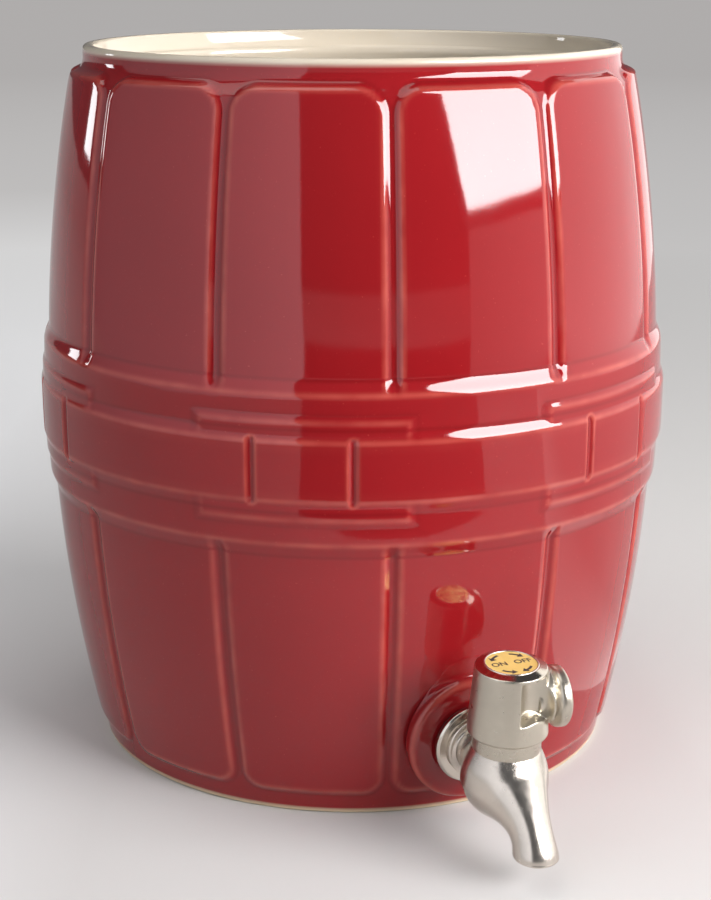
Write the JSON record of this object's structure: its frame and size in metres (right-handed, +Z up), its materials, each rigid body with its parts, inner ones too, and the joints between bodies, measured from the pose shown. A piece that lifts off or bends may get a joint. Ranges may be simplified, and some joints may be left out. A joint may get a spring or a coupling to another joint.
{
  "type": "water pot with tap",
  "caption": "Barrel-shaped glazed stoneware water pot, open at the top with a gallery for a lid, and a quarter-turn plug tap with a side lever low on its front.",
  "frame": {"origin": "centre of the flat foot, on the surface the pot stands on", "axes": "+Z up along the barrel's axis; the tap points along -Y; the closed tap's lever points to +X"},
  "size_m": [0.2616, 0.3175, 0.29],
  "materials": {
    "glaze": "gloss",
    "polished_nickel": "polished",
    "satin_nickel": "satin",
    "brass": "machined",
    "steel": "plain",
    "rubber": "matte",
    "slip_plastic": "matte",
    "label": "satin"
  },
  "bodies": {
    "pot": {"pot_body": "glaze", "outer_gasket": "rubber", "wall_flange": "satin_nickel", "tap_body": "polished_nickel", "bonnet_nut": "satin_nickel", "thrust_washer": "slip_plastic", "inner_gasket": "rubber", "backing_washer": "steel", "lock_nut": "brass"},
    "handle": {"handle": "satin_nickel", "label_disc": "label", "handle_screw": "steel", "valve_plug": "brass", "lower_o_ring": "rubber", "upper_o_ring": "rubber"}
  },
  "joints": [
    {"name": "handle_turn", "type": "hinge", "parent": "pot", "child": "handle", "pos_m": [0, -0.15154, 0.03122], "axis": [0, -0.0785, 0.9969], "range_deg": [0, 90]}
  ]
}
